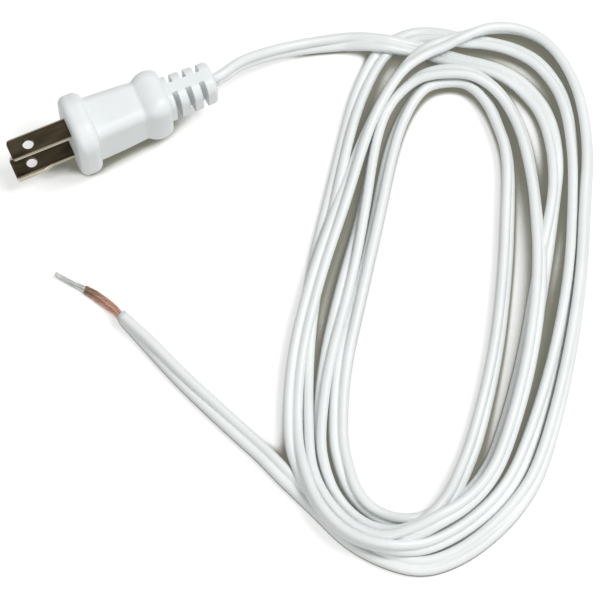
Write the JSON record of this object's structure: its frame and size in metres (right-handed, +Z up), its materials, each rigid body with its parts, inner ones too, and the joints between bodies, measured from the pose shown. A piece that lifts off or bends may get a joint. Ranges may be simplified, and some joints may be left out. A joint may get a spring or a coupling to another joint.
{
  "type": "lamp cord",
  "caption": "White replacement lamp cord: flat twin cord in a loose coil, a moulded two-blade polarised plug at one end and stripped copper ends at the other.",
  "frame": {"origin": "under the middle of the plug with its blades, on the surface it lies on", "axes": "+X along the plug's axis from the blade tips to the cord exit; +Y along the blades' width; +Z up, from the neutral blade to the line blade"},
  "size_m": [0.1606, 0.1626, 0.0255],
  "materials": {
    "plug_white": "smooth satin",
    "cord_white": "smooth satin",
    "blade_metal": "nickel plated, worn",
    "insert_plastic": "matte",
    "copper_strand": "bright bare copper",
    "tinned_strand": "tinned"
  },
  "bodies": {
    "root": {"plug_body": "plug_white", "line_blade": "blade_metal", "neutral_blade": "blade_metal", "blade_insert": "insert_plastic", "line_conductor": "copper_strand", "neutral_conductor": "copper_strand", "cord_split_end": "cord_white", "cord_lead": "cord_white", "cord_coil": "cord_white", "cord_tail": "cord_white", "line_bare_end": "copper_strand", "neutral_bare_end": "copper_strand", "line_tinned_tip": "tinned_strand", "neutral_tinned_tip": "tinned_strand"}
  },
  "joints": []
}
